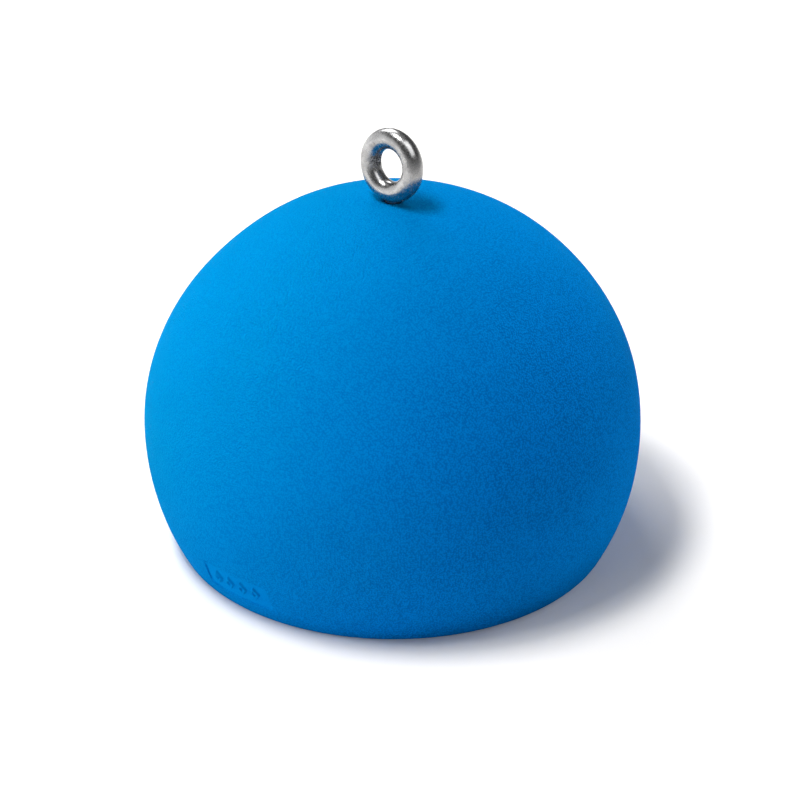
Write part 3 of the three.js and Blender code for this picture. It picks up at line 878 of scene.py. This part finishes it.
def add_load_cup():
    screws = numbered("cup_screw", CUP_SCREW_COUNT)
    rows = rings_to_points(soften(section("load_cup"), 0.7 * MM, 4), even_angles(120))
    whole = plain_object("whole", grid_mesh("cup", rows, closed_section=True))
    holes = [screw_hole(node, CUP_SCREW_BODY) for node in screws]
    mesh = joined("cup", whole, holes, "DIFFERENCE")
    piece("cup", mesh, ZINC_STEEL, "ball", "zinc_steel", "load_cup", sharp=30)
    for node in screws:
        mesh = screw_mesh(node, CUP_SCREW_BODY, 1.4 * MM)
        piece(node + "_body", mesh, ZINC_STEEL, "ball", "zinc_steel", node, sharp=30)


def add_base_board():
    cutters = [screw_hole(n, CUP_SCREW_BODY) for n in numbered("cup_screw", CUP_SCREW_COUNT)]
    inserts = numbered("cover_insert", COVER_SCREW_COUNT)
    cutters += [insert_hole(n) for n in inserts]
    rows = rings_to_points(soften(section("base_board"), 0.6 * MM), even_angles(144))
    whole = plain_object("whole", grid_mesh("board", rows, closed_section=True))
    mesh = joined("board", whole, cutters, "DIFFERENCE")
    piece("board", mesh, PLYWOOD, "ball", "plywood", "base_board", sharp=30)
    for node in inserts:
        piece(node + "_body", insert_mesh(node), BRASS, "ball", "brass", node, sharp=30)


def add_base_cover():
    """The cover has ring grooves in its underside, for grip, and a broken edge."""
    low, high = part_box("base_cover")
    radius = high.x
    middle = 4 * MM
    broken = 0.8 * MM
    floor_z = low.z + GROOVE_DEPTH
    outline = [(middle, low.z)]
    for groove in GROOVE_RADII:
        outline += [
            (groove - GROOVE_HALF_WIDTH, low.z),
            (groove - GROOVE_FLOOR_HALF_WIDTH, floor_z),
            (groove + GROOVE_FLOOR_HALF_WIDTH, floor_z),
            (groove + GROOVE_HALF_WIDTH, low.z),
        ]
    outline += [(radius - broken, low.z), (radius, low.z + broken), (radius, high.z),
                (middle, high.z)]
    rows = rings_to_points(soften(outline, 0.25 * MM, 2, closed=False), even_angles(192))
    screws = numbered("cover_screw", COVER_SCREW_COUNT)
    whole = plain_object("whole", grid_mesh("cover", rows, closed_section=False))
    holes = [screw_hole(node, COVER_SCREW_BODY) for node in screws]
    mesh = joined("cover", whole, holes, "DIFFERENCE")
    piece("cover", mesh, RUBBER, "ball", "rubber", "base_cover", sharp=30)
    for node in screws:
        mesh = screw_mesh(node, COVER_SCREW_BODY, 0.8 * MM)
        piece(node + "_body", mesh, ZINC_STEEL, "ball", "zinc_steel", node, sharp=30)


add_skin()
add_foam()
add_eye_bolt()
add_spine()
add_load_cup()
add_base_board()
add_base_cover()

# Floor, camera and light


def floor_material():
    """A white sweep that glows more the farther off it is: painted light, not lit by a lamp."""
    made, tree, shader, place = surface("white_floor", Roughness=0.9, Specular_IOR_Level=0.1)
    drift = noise(tree, place, 0.4, 2.0)
    tone = two_colours(tree, drift, (0.850, 0.835, 0.815), (0.860, 0.845, 0.825))
    tree.links.new(tone, shader.inputs["Base Color"])
    away = add(tree, "ShaderNodeVectorMath", {0: place}, operation="LENGTH").outputs["Value"]
    # Painted light: the floor glows, more the farther it is from the middle.
    shader.inputs["Emission Color"].default_value = (1, 1, 1, 1)
    tree.links.new(remap(tree, away, 0.9, 2.4, 0, 0.75), shader.inputs["Emission Strength"])
    return made


def add_floor():
    size = 12
    mesh = bpy.data.meshes.new("floor")
    corners = [(-size, -size, 0), (size, -size, 0), (size, size, 0), (-size, size, 0)]
    mesh.from_pydata(corners, [], [(0, 1, 2, 3)])
    mesh.materials.append(floor_material())
    plain_object("floor", mesh)


CAMERA_AZIMUTH = math.radians(40.2)
CAMERA_ELEVATION = math.radians(29.0)
CAMERA_DISTANCE = 10 * BALL_RADIUS
CAMERA_LENS = 111.2
AIM_RIGHT = 3.95 * MM
AIM_UP = 12.57 * MM


def add_camera():
    """Adds the camera at the photo's angle. Returns the level direction to its right."""
    data = bpy.data.cameras.new("camera")
    data.lens = CAMERA_LENS
    data.sensor_width = 36
    made = plain_object("camera", data)
    a, e = CAMERA_AZIMUTH, CAMERA_ELEVATION
    back = Vector((math.sin(a) * math.cos(e), -math.cos(a) * math.cos(e), math.sin(e)))
    right = Vector((math.cos(a), math.sin(a), 0))
    up = back.cross(right)
    centre = Vector((0, 0, WIDEST_Z))
    aim = centre + right * AIM_RIGHT + up * AIM_UP
    made.location = centre + back * CAMERA_DISTANCE
    made.rotation_mode = "QUATERNION"
    made.rotation_quaternion = (aim - made.location).to_track_quat("-Z", "Y")
    bpy.context.scene.camera = made
    return right


def add_area_light(name, place, target, width, height, power):
    data = bpy.data.lights.new(name, "AREA")
    data.shape = "RECTANGLE"
    data.size = width
    data.size_y = height
    data.energy = power
    made = plain_object(name, data)
    made.location = place
    made.rotation_mode = "QUATERNION"
    made.rotation_quaternion = (Vector(target) - Vector(place)).to_track_quat("-Z", "Y")
    made.visible_camera = False
    return made


# Soft boxes round the ball: (name, elevation, bearing from the camera's right towards the far
# side, width, height, power)
SOFT_BOXES = [
    ("far", 45, 110, 0.9, 0.9, 16.0),
    ("top", 72, 189, 0.45, 0.45, 22.0),
]
# Fill lights that only light matte surfaces, and cards that only polished metal shows
FILLS = [
    ("near_left_high", 65, 219, 0.4, 0.4, 11.0),
    ("near_left_low", 14, 219, 1.2, 0.6, 10.6),
    ("left_low", 14, 168, 1.2, 0.6, 14.2),
    ("right_low", 16, 22, 1.2, 0.6, 15.6),
]
CARDS = [
    ("left_card", 12, 165, 3.0, 1.6, 17.5),
    ("near_right_card", 60, -50, 1.3, 1.3, 15.0),
]
LIGHT_DISTANCE = 1.8


def add_lights(right):
    away = Vector((-right.y, right.x, 0))
    middle = Vector((0, 0, WIDEST_Z))
    for name, elevation, bearing, width, height, power in [*SOFT_BOXES, *FILLS, *CARDS]:
        e, b = math.radians(elevation), math.radians(bearing)
        level = right * math.cos(b) + away * math.sin(b)
        towards = level * math.cos(e) + Vector((0, 0, math.sin(e)))
        place = middle + towards * LIGHT_DISTANCE
        made = add_area_light(name, place, middle, width, height, power)
        made.visible_glossy = name not in {fill[0] for fill in FILLS}
        made.visible_diffuse = name not in {card[0] for card in CARDS}


def add_world():
    """A pale studio wall round the horizon, and a dim ceiling."""
    world = bpy.data.worlds.new("studio")
    bpy.context.scene.world = world
    world.use_nodes = True
    tree = world.node_tree
    direction = add(tree, "ShaderNodeTexCoord").outputs["Generated"]
    height = add(tree, "ShaderNodeSeparateXYZ", {0: direction}).outputs["Z"]
    strength = remap(tree, height, 0.17, 0.31, 0.5, 0.105)
    background = tree.nodes["Background"]
    background.inputs["Color"].default_value = (1, 1, 1, 1)
    tree.links.new(strength, background.inputs["Strength"])


add_floor()
camera_right = add_camera()
add_world()
add_lights(camera_right)

scene = bpy.context.scene
scene.view_settings.view_transform = "Standard"
scene.view_settings.look = "None"
